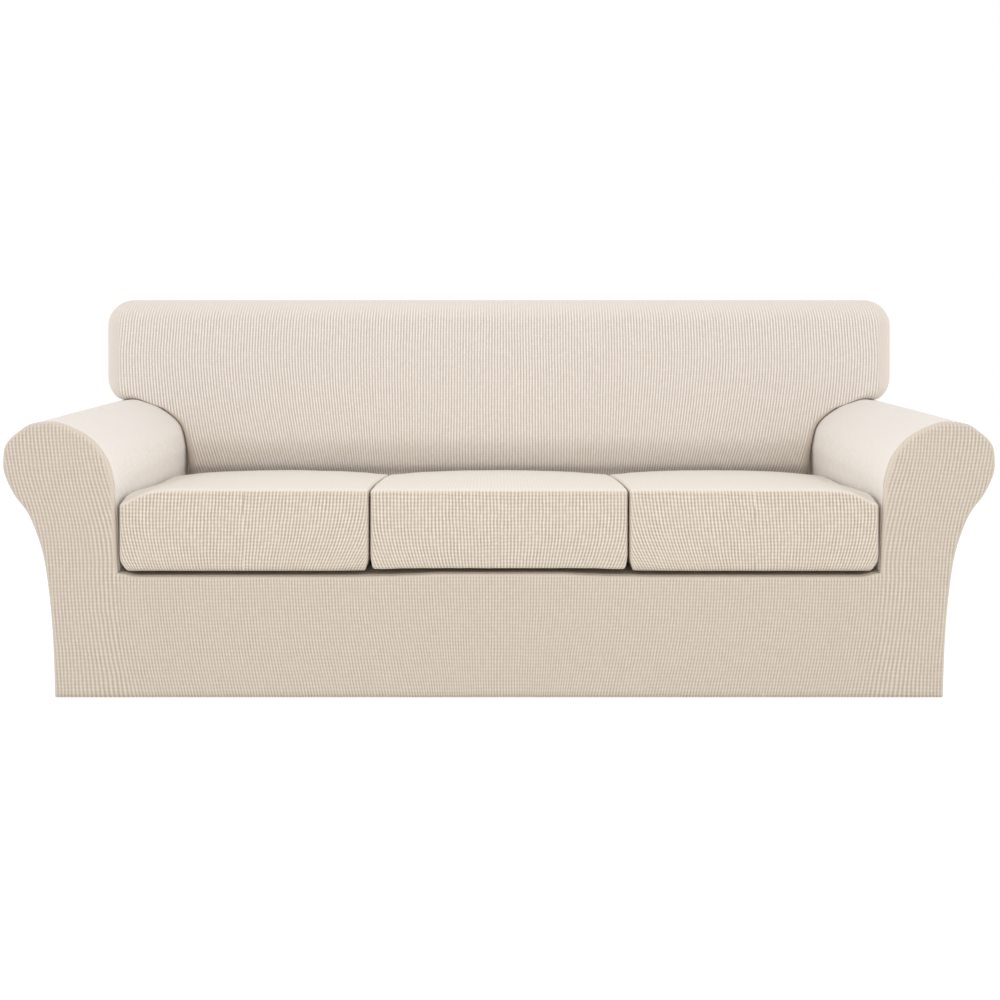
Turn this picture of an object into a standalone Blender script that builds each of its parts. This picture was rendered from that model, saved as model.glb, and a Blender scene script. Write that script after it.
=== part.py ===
"""Fitted stretch slipcover set for a three-seat roll-arm sofa, as hollow as it hangs on the sofa.

The base cover is six panels of cloth, and each of the three seat cushions has a boxed cover.
Frame: metres, +Z up, the front faces -Y, and the origin is on the floor under the middle of the set.
"""

import math

import bmesh
import bpy
from mathutils import Vector

for leftover in list(bpy.data.objects):
    bpy.data.objects.remove(leftover)

# Whole set
DEPTH = 0.900
HEIGHT = 0.880
FRONT = -DEPTH / 2
REAR = DEPTH / 2
CLOTH = 0.002  # thickness of the knitted cloth
SEAM = 0.0003  # gap at which two sewn panels, or two layers that touch, stay apart
PANEL_ROLL = 0.010  # radius where the front and rear panels turn their edges
SKIRT_ROLL = 0.006  # the same, along the top of the skirt
PANEL_SEAM = 0.0125  # depth behind their faces at which those panels end
ROLL_STEPS = 3

# Arm, seen from the front: from the floor up the outside, over the roll, and down the inside
# to the seat. Columns: distance from the middle plane, height.
ARM_OUTLINE = (
    (0.9845, 0.0000),
    (0.9890, 0.1220),
    (0.9980, 0.2280),
    (1.0130, 0.3210),
    (1.0420, 0.4000),
    (1.0750, 0.4460),
    (1.0960, 0.4900),
    (1.1000, 0.5220),
    (1.0920, 0.5620),
    (1.0500, 0.5985),
    (1.0250, 0.6060),
    (0.9850, 0.6080),
    (0.9380, 0.5910),
    (0.9000, 0.5660),
    (0.8720, 0.5300),
    (0.8570, 0.4870),
    (0.8520, 0.4340),
    (0.8450, 0.2735),
)
ARM_STEPS = 2  # points for each row of the table
WING_SEAM_ROW = 9  # the row where the wing of the back comes down on the roll

# Seat deck, under the cushions
SEAT_HALF, DECK_TOP = ARM_OUTLINE[-1]

# Back: a raked face that ends in a wing over each arm
BACK_AT_SEAT = 0.100  # how far back the face stands at the height SEAT_TOP
SEAT_TOP = 0.430
RAKE = math.radians(14.0)
WING_HALF = 1.090
WING_CORNER = 0.060  # radius of the wing's corners, seen from the front
WING_FOOT = 0.6553  # height of the centre of the wing's lower corner
WING_START = math.radians(-70.0)  # where that corner meets the arm's roll
BACK_ROLL = 0.055  # radius where the face turns over the top and the wing's end
BACK_ROLL_AT_ARM = 0.012
CORNER_STEPS = 5

# Seat cushion covers
MIDDLE_WIDTH = 0.571
SIDE_WIDTH = 0.553
CUSHION_GAP = 0.004
CUSHION_SETBACK = 0.001  # from the front panel
BACK_CLEARANCE = 0.004  # to the face of the back
CUSHION_CORNER = 0.022  # radius of the upright corners
CUSHION_LEAST_CORNER = 0.005  # of the same corners where the outline has moved in
TOP_ROLL = 0.013
FOOT_ROLL_UP = 0.012  # the lower edge turns in over this height
FOOT_ROLL_FRONT = 0.024  # and by this much at the front and rear
FOOT_ROLL_SIDE = 0.011  # and by this much at the sides
HEM_TURN = 0.070  # elasticated hem, turned under the cushion
RIM_HEIGHT = 0.450  # top edge at the front
RIM_FALL = 0.036  # how far that edge drops towards the back
CROWN = 0.023  # rise of the middle over the edges
CORNER_DROP = 0.014  # how far the front corner beside the arm sags
CORNER_REACH = 0.035
CUSHION_CORNER_STEPS = 2
CUSHION_SIDE_STEPS = 5
CUSHION_ROLL_STEPS = 2
CUSHION_TOP_RINGS = (0.80, 0.55, 0.28)  # sizes of the rings on the top, against its rim

BEIGE = (0.686, 0.597, 0.503, 1.0)
ROUGHNESS = 0.9


def back_face(height):
    """Depth of the raked face of the back at a height."""
    return BACK_AT_SEAT + (height - SEAT_TOP) * math.tan(RAKE)


def smooth_path(points, steps):
    """Catmull-Rom curve through the points, with some steps for each span."""
    guides = [points[0], *points, points[-1]]
    path = []
    for before, start, end, after in zip(guides, guides[1:], guides[2:], guides[3:]):
        for step in range(steps):
            t = step / steps
            path.append(tuple(
                0.5 * (2 * b + (c - a) * t + (2 * a - 5 * b + 4 * c - d) * t**2
                       + (3 * b - a - 3 * c + d) * t**3)
                for a, b, c, d in zip(before, start, end, after)
            ))
    return path + [points[-1]]


def arc(centre, radius, start, end, steps):
    """Points along an arc in a plane, both ends included."""
    angles = [start + (end - start) * step / steps for step in range(steps + 1)]
    return [(centre[0] + radius * math.cos(a), centre[1] + radius * math.sin(a)) for a in angles]


def arm_path():
    """The arm's outline as a smooth path."""
    return smooth_path(ARM_OUTLINE, ARM_STEPS)


def wing_path():
    """Half the outline of the back, from the arm's roll round the wing to the middle of the top."""
    column = WING_HALF - WING_CORNER
    lower = arc((column, WING_FOOT), WING_CORNER, WING_START, 0.0, CORNER_STEPS)
    upper = arc((column, HEIGHT - WING_CORNER), WING_CORNER, 0.0, math.pi / 2, CORNER_STEPS)
    return lower + upper + [(0.0, HEIGHT)]


def inward_normals(path):
    """For each point, the step to its left that moves both neighbouring edges in by one unit."""
    edges = [(Vector(b) - Vector(a)).normalized() for a, b in zip(path, path[1:])]
    lefts = [Vector((-edge.y, edge.x)) for edge in edges]
    pairs = zip([lefts[0]] + lefts, lefts + [lefts[-1]])
    return [(a + b) / (1 + a.dot(b)) for a, b in pairs]


def inset(point, normal, distance):
    """Move a point of an outline inwards; on the floor or the middle plane it stays there."""
    x = point[0] + normal.x * distance if point[0] else 0.0
    z = point[1] + normal.y * distance if point[1] else 0.0
    return x, z


def bridge(bm, ring_a, ring_b, closed=False):
    """Join two rows of as many vertices with quads."""
    pairs = list(zip(ring_a, ring_b))
    if closed:
        pairs.append(pairs[0])
    for (a, b), (c, d) in zip(pairs, pairs[1:]):
        bm.faces.new((a, c, d, b))


def cloth_material(name):
    """Matt beige cloth."""
    material = bpy.data.materials.new(name)
    material.use_nodes = True
    shader = material.node_tree.nodes["Principled BSDF"]
    shader.inputs["Base Color"].default_value = BEIGE
    shader.inputs["Roughness"].default_value = ROUGHNESS
    shader.inputs["Metallic"].default_value = 0.0
    return material


def sew(name, bm, mirrored=False):
    """Turn an open surface into a piece of cloth, with its thickness behind the surface."""
    mesh = bpy.data.meshes.new(name)
    bm.to_mesh(mesh)
    bm.free()
    mesh.shade_smooth()
    mesh.materials.append(cloth_material(name))
    piece = bpy.data.objects.new(name, mesh)
    COLLECTION.objects.link(piece)
    if mirrored:
        mirror = piece.modifiers.new("Mirror", "MIRROR")
        mirror.merge_threshold = 0.0001
    thickness = piece.modifiers.new("Thickness", "SOLIDIFY")
    thickness.thickness = CLOTH
    thickness.offset = -1.0
    thickness.use_even_offset = True
    return piece


def rolled_panel(name, path, rolls, face, behind, closing, seam):
    """Half of a panel with a rolled edge, mirrored to a whole one.

    path is the outline of the rolled edge, and rolls its radius at each point. face gives the
    depth of the panel at a height, and behind is 1 where the cloth turns to the rear and -1 where
    it turns to the front. closing is the rest of the outline, where the edge is plain, and seam
    the depth at which the flange past the rolled edge ends.
    """
    bm = bmesh.new()
    normals = inward_normals(path)
    rings = [[bm.verts.new((x, seam, z)) for x, z in path]]
    for step in range(ROLL_STEPS + 1):
        turn = math.pi / 2 * step / ROLL_STEPS
        ring = []
        for point, normal, roll in zip(path, normals, rolls):
            x, z = inset(point, normal, roll * (1 - math.cos(turn)))
            ring.append(bm.verts.new((x, face(z) + behind * roll * (1 - math.sin(turn)), z)))
        rings.append(ring)
    for outer, inner in zip(rings, rings[1:]):
        bridge(bm, outer, inner)
    bm.faces.new(rings[-1] + [bm.verts.new((x, face(z), z)) for x, z in closing])
    if behind < 0:
        bmesh.ops.reverse_faces(bm, faces=bm.faces)
    return sew(name, bm, mirrored=True)


def front_apron():
    """Both arm fronts and the skirt between them, one panel."""
    arm_points = arm_path()
    path = arm_points + [(0.0, DECK_TOP)]
    rolls = [PANEL_ROLL] * (len(arm_points) - 1) + [SKIRT_ROLL] * 2
    seam = FRONT + PANEL_SEAM
    return rolled_panel("front_apron", path, rolls, lambda height: FRONT, 1, [(0.0, 0.0)], seam)


def outside_back():
    """Rear panel, from the floor up between the arms' outsides to the top of the back."""
    path = arm_path()[:WING_SEAM_ROW * ARM_STEPS] + wing_path()
    rolls = [PANEL_ROLL] * len(path)
    seam = REAR - PANEL_SEAM
    return rolled_panel("outside_back", path, rolls, lambda height: REAR, -1, [(0.0, 0.0)], seam)


def inside_back():
    """Face of the back, rolled over the top and the wing's ends as far as the rear panel."""
    path = wing_path()
    rolls = [BACK_ROLL] * len(path)
    for step in range(CORNER_STEPS):
        rolls[step] = BACK_ROLL_AT_ARM + (BACK_ROLL - BACK_ROLL_AT_ARM) * step / CORNER_STEPS
    beside_arm = arm_path()[:WING_SEAM_ROW * ARM_STEPS:-1]
    closing = [(0.0, DECK_TOP)] + beside_arm
    return rolled_panel("inside_back", path, rolls, back_face, 1, closing, REAR - PANEL_SEAM - SEAM)


def arm(name, side):
    """Inside arm, roll and outside arm. side is 1 on the right and -1 on the left."""
    bm = bmesh.new()
    path = arm_path()
    under_wing = path[:WING_SEAM_ROW * ARM_STEPS + 1]
    front = FRONT + PANEL_SEAM + SEAM
    rear = REAR - PANEL_SEAM - SEAM
    at_front = [bm.verts.new((side * x, front, z)) for x, z in path]
    at_face = [bm.verts.new((side * x, back_face(z) - SEAM, z)) for x, z in path]
    at_rear = [bm.verts.new((side * x, rear, z)) for x, z in under_wing]
    bridge(bm, at_front, at_face)
    bridge(bm, at_face[:len(at_rear)], at_rear)
    if side > 0:
        bmesh.ops.reverse_faces(bm, faces=bm.faces)
    return sew(name, bm)


def seat_deck():
    """Flat panel on the seat, from the skirt's rolled edge to the face of the back."""
    bm = bmesh.new()
    half = SEAT_HALF - SEAM
    edges = (FRONT + PANEL_SEAM + SEAM, back_face(DECK_TOP) - SEAM)
    front, rear = ([bm.verts.new((x, y, DECK_TOP)) for x in (-half, half)] for y in edges)
    bridge(bm, front, rear)
    return sew("seat_deck", bm)


def rounded_rectangle(half, front, rear, radius):
    """Points round a rectangle about the middle plane, from its right rear corner."""
    corners = ((half, rear), (-half, rear), (-half, front), (half, front))
    middle = (front + rear) / 2
    arcs = []
    for quarter, (x, y) in enumerate(corners):
        centre = (x - math.copysign(radius, x), y - math.copysign(radius, y - middle))
        start = quarter * math.pi / 2
        arcs.append(arc(centre, radius, start, start + math.pi / 2, CUSHION_CORNER_STEPS))
    points = []
    for turned, following in zip(arcs, arcs[1:] + arcs[:1]):
        points += turned
        for step in range(1, CUSHION_SIDE_STEPS):
            points.append(Vector(turned[-1]).lerp(Vector(following[0]), step / CUSHION_SIDE_STEPS))
    return points


def cushion_height(x, y, half, sagging_sides):
    """Height of a cushion cover's top at x from its middle and y, from its rim and its crown."""
    along = min(max((y - FRONT) / (BACK_AT_SEAT - FRONT), 0.0), 1.0)
    height = RIM_HEIGHT - RIM_FALL * along**1.5
    height += CROWN * (1 - (x / half) ** 2) * (1 - (1 - along) ** 3)
    for side in sagging_sides:
        distance = math.hypot(x - side * half, y - FRONT)
        height -= CORNER_DROP * math.exp(-((distance / CORNER_REACH) ** 2))
    return height


def cushion_cover(name, middle, width, sagging_sides=()):
    """Boxed cover with its hem turned under, open below.

    sagging_sides lists the sides, 1 for right and -1 for left, whose front corner has dropped.
    """
    bm = bmesh.new()
    half = width / 2
    front = FRONT + CUSHION_SETBACK
    foot = DECK_TOP + SEAM

    def outline(side_inset, end_inset, height):
        """Outline of the cover, moved in, with its rear against the back at a height."""
        rear = back_face(height) - BACK_CLEARANCE
        radius = max(CUSHION_CORNER - side_inset, CUSHION_LEAST_CORNER)
        return rounded_rectangle(half - side_inset, front + end_inset, rear - end_inset, radius)

    def top(x, y, drop=0.0):
        """Vertex on the top, or below it by the drop of the rolled edge."""
        return bm.verts.new((middle + x, y, cushion_height(x, y, half, sagging_sides) - drop))

    turns = [math.pi / 2 * step / CUSHION_ROLL_STEPS for step in range(CUSHION_ROLL_STEPS + 1)]
    rings = [[bm.verts.new((middle + x, y, foot)) for x, y in outline(HEM_TURN, HEM_TURN, foot)]]
    for turn in turns:
        height = foot + FOOT_ROLL_UP * (1 - math.cos(turn))
        share = 1 - math.sin(turn)
        turned = outline(FOOT_ROLL_SIDE * share, FOOT_ROLL_FRONT * share, height)
        rings.append([bm.verts.new((middle + x, y, height)) for x, y in turned])
    rim_height = RIM_HEIGHT - RIM_FALL
    for turn in turns:
        inset_by = TOP_ROLL * (1 - math.cos(turn))
        drop = TOP_ROLL * (1 - math.sin(turn))
        rings.append([top(x, y, drop) for x, y in outline(inset_by, inset_by, rim_height)])
    centre_y = (front + back_face(SEAT_TOP)) / 2
    rim = outline(TOP_ROLL, TOP_ROLL, rim_height)
    for share in CUSHION_TOP_RINGS:
        rings.append([top(x * share, centre_y + (y - centre_y) * share) for x, y in rim])
    for lower, upper in zip(rings, rings[1:]):
        bridge(bm, lower, upper, closed=True)
    peak = top(0.0, centre_y)
    for start, end in zip(rings[-1], rings[-1][1:] + rings[-1][:1]):
        bm.faces.new((start, end, peak))
    return sew(name, bm)


COLLECTION = bpy.data.collections.new("sofa_slipcover")
bpy.context.scene.collection.children.link(COLLECTION)

front_apron()
outside_back()
inside_back()
seat_deck()
arm("arm_right", 1)
arm("arm_left", -1)
pitch = MIDDLE_WIDTH / 2 + CUSHION_GAP + SIDE_WIDTH / 2
cushion_cover("cushion_cover_middle", 0.0, MIDDLE_WIDTH)
cushion_cover("cushion_cover_right", pitch, SIDE_WIDTH, sagging_sides=(1,))
cushion_cover("cushion_cover_left", -pitch, SIDE_WIDTH, sagging_sides=(-1,))
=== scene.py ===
import logging
import math
from collections.abc import Callable, Iterator
from dataclasses import dataclass, field
from enum import Enum
from functools import partial
from itertools import accumulate

import bmesh
import bpy
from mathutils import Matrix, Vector, noise
from mathutils.geometry import delaunay_2d_cdt
from mathutils.kdtree import KDTree


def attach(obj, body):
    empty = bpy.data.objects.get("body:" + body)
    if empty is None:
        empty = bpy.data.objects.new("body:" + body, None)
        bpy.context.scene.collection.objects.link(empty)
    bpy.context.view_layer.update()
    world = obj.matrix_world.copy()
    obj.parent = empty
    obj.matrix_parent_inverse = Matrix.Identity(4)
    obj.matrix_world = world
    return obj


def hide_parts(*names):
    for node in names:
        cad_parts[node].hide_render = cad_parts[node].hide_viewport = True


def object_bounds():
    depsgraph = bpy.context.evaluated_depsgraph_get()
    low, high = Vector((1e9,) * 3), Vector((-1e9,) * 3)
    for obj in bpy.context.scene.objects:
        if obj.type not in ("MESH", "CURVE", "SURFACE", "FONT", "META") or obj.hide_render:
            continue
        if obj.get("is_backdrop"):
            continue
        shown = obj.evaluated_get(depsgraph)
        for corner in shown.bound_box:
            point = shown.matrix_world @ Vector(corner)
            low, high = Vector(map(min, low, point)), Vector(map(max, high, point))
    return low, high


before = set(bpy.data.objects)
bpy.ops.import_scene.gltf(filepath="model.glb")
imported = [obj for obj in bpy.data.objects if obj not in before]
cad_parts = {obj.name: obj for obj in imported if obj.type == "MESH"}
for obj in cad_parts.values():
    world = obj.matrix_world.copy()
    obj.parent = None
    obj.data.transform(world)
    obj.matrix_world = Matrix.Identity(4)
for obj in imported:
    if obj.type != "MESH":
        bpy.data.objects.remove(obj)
cad_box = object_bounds()

Spot = tuple[float, float]
Place = tuple[float, float, float]
Row = tuple[float, float, float]  # of a table

WALE = 0.0076  # distance between the upright rows of beads in the flat cloth, in metres

logging.basicConfig(level=logging.INFO, format="%(message)s")
log = logging.getLogger("slipcover")


class Side(Enum):
    """Side of the sofa, as seen from in front."""

    RIGHT = 1
    LEFT = -1


def ease(value: float, start: float, end: float) -> float:
    """Smooth step from 0 at start to 1 at end, which may lie below start."""
    share = min(max((value - start) / (end - start), 0.0), 1.0)
    return share * share * (3 - 2 * share)


def bell(distance: float, reach: float) -> float:
    """Smooth bump that is 1 where the distance is 0 and has nearly faded at twice the reach."""
    return math.exp(-((distance / reach) ** 2))


def between(value: float, rows: tuple[Spot, ...]) -> float:
    """Read a short table of (place, value) rows, with smooth steps between its rows.

    Args:
        value: The place.
        rows: The table, by rising place.

    Returns:
        The value there.
    """
    result = rows[0][1]
    for (start, low), (end, high) in zip(rows, rows[1:]):
        if value > start:
            result = low + (high - low) * ease(value, start, end)
    return result


def evenly(start: float, end: float, steps: int) -> list[float]:
    """Values from start to end, both included, in even steps."""
    return [start + (end - start) * step / steps for step in range(steps + 1)]


def travelled(path: list[Spot]) -> list[float]:
    """How far along a path each of its points lies."""
    return list(accumulate((math.dist(a, b) for a, b in zip(path, path[1:])), initial=0.0))


def resampled(path: list[Spot], spacing: float) -> list[Spot]:
    """Place points evenly along a path.

    Args:
        path: Points of the path.
        spacing: Largest distance between the new points.

    Returns:
        New points, with both ends of the path kept.
    """
    lengths = travelled(path)
    points = []
    row = 0
    for target in evenly(0.0, lengths[-1], max(1, math.ceil(lengths[-1] / spacing))):
        while row < len(path) - 2 and lengths[row + 1] < target:
            row += 1
        share = (target - lengths[row]) / max(lengths[row + 1] - lengths[row], 1e-9)
        (x0, z0), (x1, z1) = path[row], path[row + 1]
        points.append((x0 + (x1 - x0) * share, z0 + (z1 - z0) * share))
    return [path[0], *points[1:-1], path[-1]]


def catmull_rom(points: tuple[Spot, ...], steps: int) -> list[Spot]:
    """Draw a smooth curve through points.

    Args:
        points: The points that it passes.
        steps: Steps for each span.

    Returns:
        Points of the curve; each given point is one of them.
    """
    guides = [points[0], *points, points[-1]]
    path = []
    for before, start, end, after in zip(guides, guides[1:], guides[2:], guides[3:]):
        for step in range(steps):
            t = step / steps
            path.append(tuple(
                0.5 * (2 * b + (c - a) * t + (2 * a - 5 * b + 4 * c - d) * t**2
                       + (3 * b - a - 3 * c + d) * t**3)
                for a, b, c, d in zip(before, start, end, after)
            ))
    return path + [points[-1]]


def arc(centre: Spot, radius: float, start: float, end: float, steps: int) -> list[Spot]:
    """Points of an arc from one angle to another, both ends included."""
    return [(centre[0] + radius * math.cos(a), centre[1] + radius * math.sin(a))
            for a in evenly(start, end, steps)]


def mirrored(path: list[Spot]) -> list[Spot]:
    """The path on the other side of the middle plane, in the opposite order."""
    return [(-x, z) for x, z in reversed(path)]


def left_normals(path: list[Spot]) -> list[Spot]:
    """Find the step to the left that moves both edges at a point by one unit.

    Args:
        path: The points.

    Returns:
        The step of each point.
    """
    edges = [(Vector(b) - Vector(a)).normalized() for a, b in zip(path, path[1:])]
    lefts = [Vector((-edge.y, edge.x)) for edge in edges]
    pairs = zip([lefts[0]] + lefts, lefts + [lefts[-1]])
    return [tuple((a + b) / (1 + a.dot(b))) for a, b in pairs]


@dataclass(frozen=True)
class SofaShape:
    """Sizes of the cover that its panels share, in metres."""

    front: float = -0.450
    rear: float = 0.450
    height: float = 0.880
    cloth: float = 0.002
    seam: float = 0.0003
    panel_seam: float = 0.0125  # how far behind their faces the outer panels are sewn on
    panel_roll: float = 0.010
    skirt_roll: float = 0.0065  # the same radius along the seat's front edge
    # Arm from in front, from the floor up the outside and down the inside to the seat:
    # distance from the middle plane, height
    arm_rows: tuple[Spot, ...] = (
        (0.9845, 0.0000), (0.9890, 0.1220), (0.9980, 0.2280), (1.0130, 0.3210), (1.0420, 0.4000),
        (1.0750, 0.4460), (1.0960, 0.4900), (1.1000, 0.5220), (1.0920, 0.5620), (1.0500, 0.5985),
        (1.0250, 0.6060), (0.9850, 0.6080), (0.9380, 0.5910), (0.9000, 0.5660), (0.8720, 0.5300),
        (0.8570, 0.4870), (0.8520, 0.4340), (0.8450, 0.2735),
    )
    wing_row: int = 10  # number of the row on which the wing stands
    round_steps: int = 12
    seat_half: float = 0.845
    deck_top: float = 0.2735
    # Sag of the seat's front edge: distance from the middle plane, sag
    seat_sag: tuple[Spot, ...] = ((0.13, 0.0015), (0.20, 0.0045), (0.24, 0.0060),
                                  (0.34, 0.0078), (0.80, 0.0078), (0.845, 0.0))
    back_at_seat: float = 0.100
    seat_top: float = 0.430
    rake: float = math.radians(14.0)
    # How far the back's cloth draws back behind the cushions: distance, from height, to height
    hollows: tuple[Row, ...] = ((0.030, 0.395, 0.515), (0.014, 0.402, 0.435))
    wing_half: float = 1.090
    wing_corner: float = 0.066
    wing_foot: float = 0.6710
    wing_start: float = math.radians(-82.0)
    wing_lean: float = 0.085
    wing_middle: float = 0.730
    splay_start: float = 0.70  # distance at which the lean of the wing begins
    splay_full: float = 1.03

    def back_face(self, height: float) -> float:
        """Depth of the raked face of the back at a height."""
        return self.back_at_seat + (height - self.seat_top) * math.tan(self.rake)

    def inside_face(self, height: float) -> float:
        """Depth of the back's cloth at a height, drawn back behind the cushions."""
        drawn = sum(depth * (1 - ease(height, low, high)) for depth, low, high in self.hollows)
        return self.back_face(height) + drawn

    def sag(self, x: float) -> float:
        """How far the seat's front edge sags under the cushions here."""
        return between(abs(x), self.seat_sag)

    def arm_halves(self, spacing: float) -> tuple[list[Spot], list[Spot]]:
        """Outline of the right arm, split where the wing of the back comes down on its roll.

        Args:
            spacing: Distance between points.

        Returns:
            The outer part from the floor up, and the inner part down to the seat.
        """
        path = catmull_rom(self.arm_rows, self.round_steps)
        split = self.wing_row * self.round_steps
        return resampled(path[:split + 1], spacing), resampled(path[split:], spacing)

    def wing(self, spacing: float) -> list[Spot]:
        """Right half of the back's outline, from the arm's roll to the middle of the top.

        Args:
            spacing: Distance between points.

        Returns:
            Its points.
        """
        column = self.wing_half - self.wing_corner
        radius = self.wing_corner
        lower = arc((column, self.wing_foot), radius, self.wing_start, 0.0, self.round_steps)
        upper = arc((column, self.height - radius), radius, 0.0, math.pi / 2, self.round_steps)
        path = resampled(lower + upper + [(0.0, self.height)], spacing)
        return [(x + self.splay(x, z), z) for x, z in path]

    def splay(self, x: float, z: float) -> float:
        """How far the wing's end leans out at the top and in at the foot."""
        lean = self.wing_lean * (min(z, self.height - self.wing_corner) - self.wing_middle)
        return lean * ease(x, self.splay_start, self.splay_full)


@dataclass(frozen=True)
class Pull:
    """A place where the stretched wales are drawn sideways.

    The pull grows between the distances near and full from the middle plane, fades between
    fade and far, and grows from the height start to the height end, up to shift metres.
    """

    near: float
    full: float
    fade: float
    far: float
    start: float
    end: float
    shift: float

    def at(self, distance: float, height: float) -> float:
        """How far the wales are drawn here."""
        across = ease(distance, self.near, self.full) * (1 - ease(distance, self.fade, self.far))
        return self.shift * across * ease(height, self.start, self.end)


@dataclass(frozen=True)
class Fold:
    """A soft trough or ridge in the cloth, between two places (across, up).

    height is how far its middle stands proud, and below zero for a trough. width is how far
    from its line it has faded, and it fades towards both ends too.
    """

    start: Spot
    end: Spot
    width: float
    height: float

    def at(self, x: float, z: float) -> float:
        """Find how far the cloth stands proud because of this fold.

        Args:
            x: Place across.
            z: Height.

        Returns:
            The height of the fold there.
        """
        run = Vector(self.end) - Vector(self.start)
        offset = Vector((x, z)) - Vector(self.start)
        share = offset.dot(run) / run.length_squared
        away = abs(offset.cross(run)) / run.length
        over = 0.3  # share of its length over which it fades, on either side of its ends
        if not -over < share < 1 + over or away > 2.5 * self.width:
            return 0.0
        ends = ease(share, -over, over) * (1 - ease(share, 1 - over, 1 + over))
        return self.height * ends * bell(away, self.width)


@dataclass(frozen=True)
class ClothPoint:
    """A point of a cloth piece, with its place in the flat cloth before it was stretched."""

    vertex: bmesh.types.BMVert
    across: float
    along: float

    def moved(self, across: float, along: float) -> "ClothPoint":
        """The same point, as another part of the flat cloth meets it."""
        return ClothPoint(self.vertex, across, along)


@dataclass
class ClothSheet:
    """An open cloth surface that grows face by face and is then given its thickness."""

    name: str
    thickness: float
    mesh: bmesh.types.BMesh = field(default_factory=bmesh.new)

    def __post_init__(self) -> None:
        """Add the layer that holds the places in the flat cloth."""
        self.weave = self.mesh.loops.layers.uv.new("weave")

    def point(self, place: Place, flat: Spot) -> ClothPoint:
        """Add a point at a place, with its place in the flat cloth."""
        return ClothPoint(self.mesh.verts.new(place), flat[0], flat[1])

    def face(self, points: list[ClothPoint]) -> None:
        """Join points with a face that points towards the viewer who sees them turn left.

        Args:
            points: Its corners, in order.
        """
        made = self.mesh.faces.new([point.vertex for point in points])
        for loop, point in zip(made.loops, points):
            loop[self.weave].uv = (point.across, point.along)

    def strip(self, row_a: list[ClothPoint], row_b: list[ClothPoint]) -> None:
        """Join two rows of as many points with quads.

        Args:
            row_a: First row.
            row_b: The row to its left.
        """
        pairs = list(zip(row_a, row_b))
        for (a, b), (c, d) in zip(pairs, pairs[1:]):
            self.face([a, c, d, b])

    def face_outwards(self) -> None:
        """Turn the outside of every face away from what the sheet wraps."""
        bmesh.ops.recalc_face_normals(self.mesh, faces=self.mesh.faces)

    def fill(self, rim: list[ClothPoint], outline: list[Spot], spacing: float,
             place: Callable[[float, float], Place],
             flat: Callable[[float, float], Spot]) -> None:
        """Fill a closed rim with a net of triangles.

        Args:
            rim: Points of the rim, turning left.
            outline: Where they lie in the plane in which the net is laid out.
            spacing: Distance between the net's points.
            place: Gives the place of a new point from where it lies in that plane.
            flat: Gives its place in the flat cloth.
        """
        tree = KDTree(len(outline))
        for index, (x, z) in enumerate(outline):
            tree.insert((x, z, 0.0), index)
        tree.balance()
        low = [min(spot[axis] for spot in outline) for axis in (0, 1)]
        high = [max(spot[axis] for spot in outline) for axis in (0, 1)]
        net = []
        clear = 0.6 * spacing  # least distance of the net from the rim
        rise = spacing * math.sqrt(3) / 2
        for row in range(int((high[1] - low[1]) / rise) + 1):
            shift = spacing / 2 * (row % 2)
            for column in range(int((high[0] - low[0]) / spacing) + 1):
                x = low[0] + shift + column * spacing
                z = low[1] + (row + 0.5) * rise
                if tree.find((x, z, 0.0))[2] > clear:
                    net.append((x, z))
        count = len(outline)
        edges = [(index, (index + 1) % count) for index in range(count)]
        places, _, faces, originals, _, _ = delaunay_2d_cdt(
            [Vector(spot) for spot in outline + net], edges, [], 1, 1e-7)
        points = {}
        for index, sources in enumerate(originals):
            if sources and sources[0] < count:
                points[index] = rim[sources[0]]
        for corners in faces:
            for index in corners:
                if index not in points:
                    x, z = places[index]
                    points[index] = self.point(place(x, z), flat(x, z))
            self.face([points[index] for index in corners])

    def finish(self, collection: bpy.types.Collection,
               material: bpy.types.Material) -> bpy.types.Object:
        """Make the piece of cloth, with its thickness behind the surface.

        Args:
            collection: Where it goes.
            material: Its cloth.

        Returns:
            The finished piece.
        """
        data = bpy.data.meshes.new(self.name)
        self.mesh.to_mesh(data)
        self.mesh.free()
        data.shade_smooth()
        data.materials.append(material)
        piece = bpy.data.objects.new(self.name, data)
        collection.objects.link(piece)
        bpy.context.view_layer.objects.active = piece
        layers = piece.modifiers.new("Thickness", "SOLIDIFY")
        layers.thickness = self.thickness
        layers.offset = -1.0
        layers.use_even_offset = True
        bpy.ops.object.modifier_apply(modifier=layers.name)
        return piece


def linear(code: str) -> tuple[float, float, float, float]:
    """Turn an sRGB hex colour into the linear colour of a shader, with an alpha of 1."""
    parts = [int(code[start:start + 2], 16) / 255 for start in (1, 3, 5)]
    return (*(p / 12.92 if p <= 0.04045 else ((p + 0.055) / 1.055) ** 2.4 for p in parts), 1.0)


def add_node(tree: bpy.types.NodeTree, kind: str, settings: dict[str, object] | None = None,
             inputs: dict[int | str, object] | None = None) -> bpy.types.Node:
    """Add a shader node.

    Args:
        tree: The material's nodes.
        kind: Type of the node, without the ShaderNode before it.
        settings: Its own settings, by name.
        inputs: What its sockets get, by number or name: a value, the socket of another node,
            or another node for its first socket.

    Returns:
        The node.
    """
    node = tree.nodes.new(f"ShaderNode{kind}")
    for name, value in (settings or {}).items():
        setattr(node, name, value)
    for name, value in (inputs or {}).items():
        if isinstance(value, bpy.types.Node):
            value = value.outputs[0]
        if isinstance(value, bpy.types.NodeSocket):
            tree.links.new(value, node.inputs[name])
        else:
            node.inputs[name].default_value = value
    return node


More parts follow.
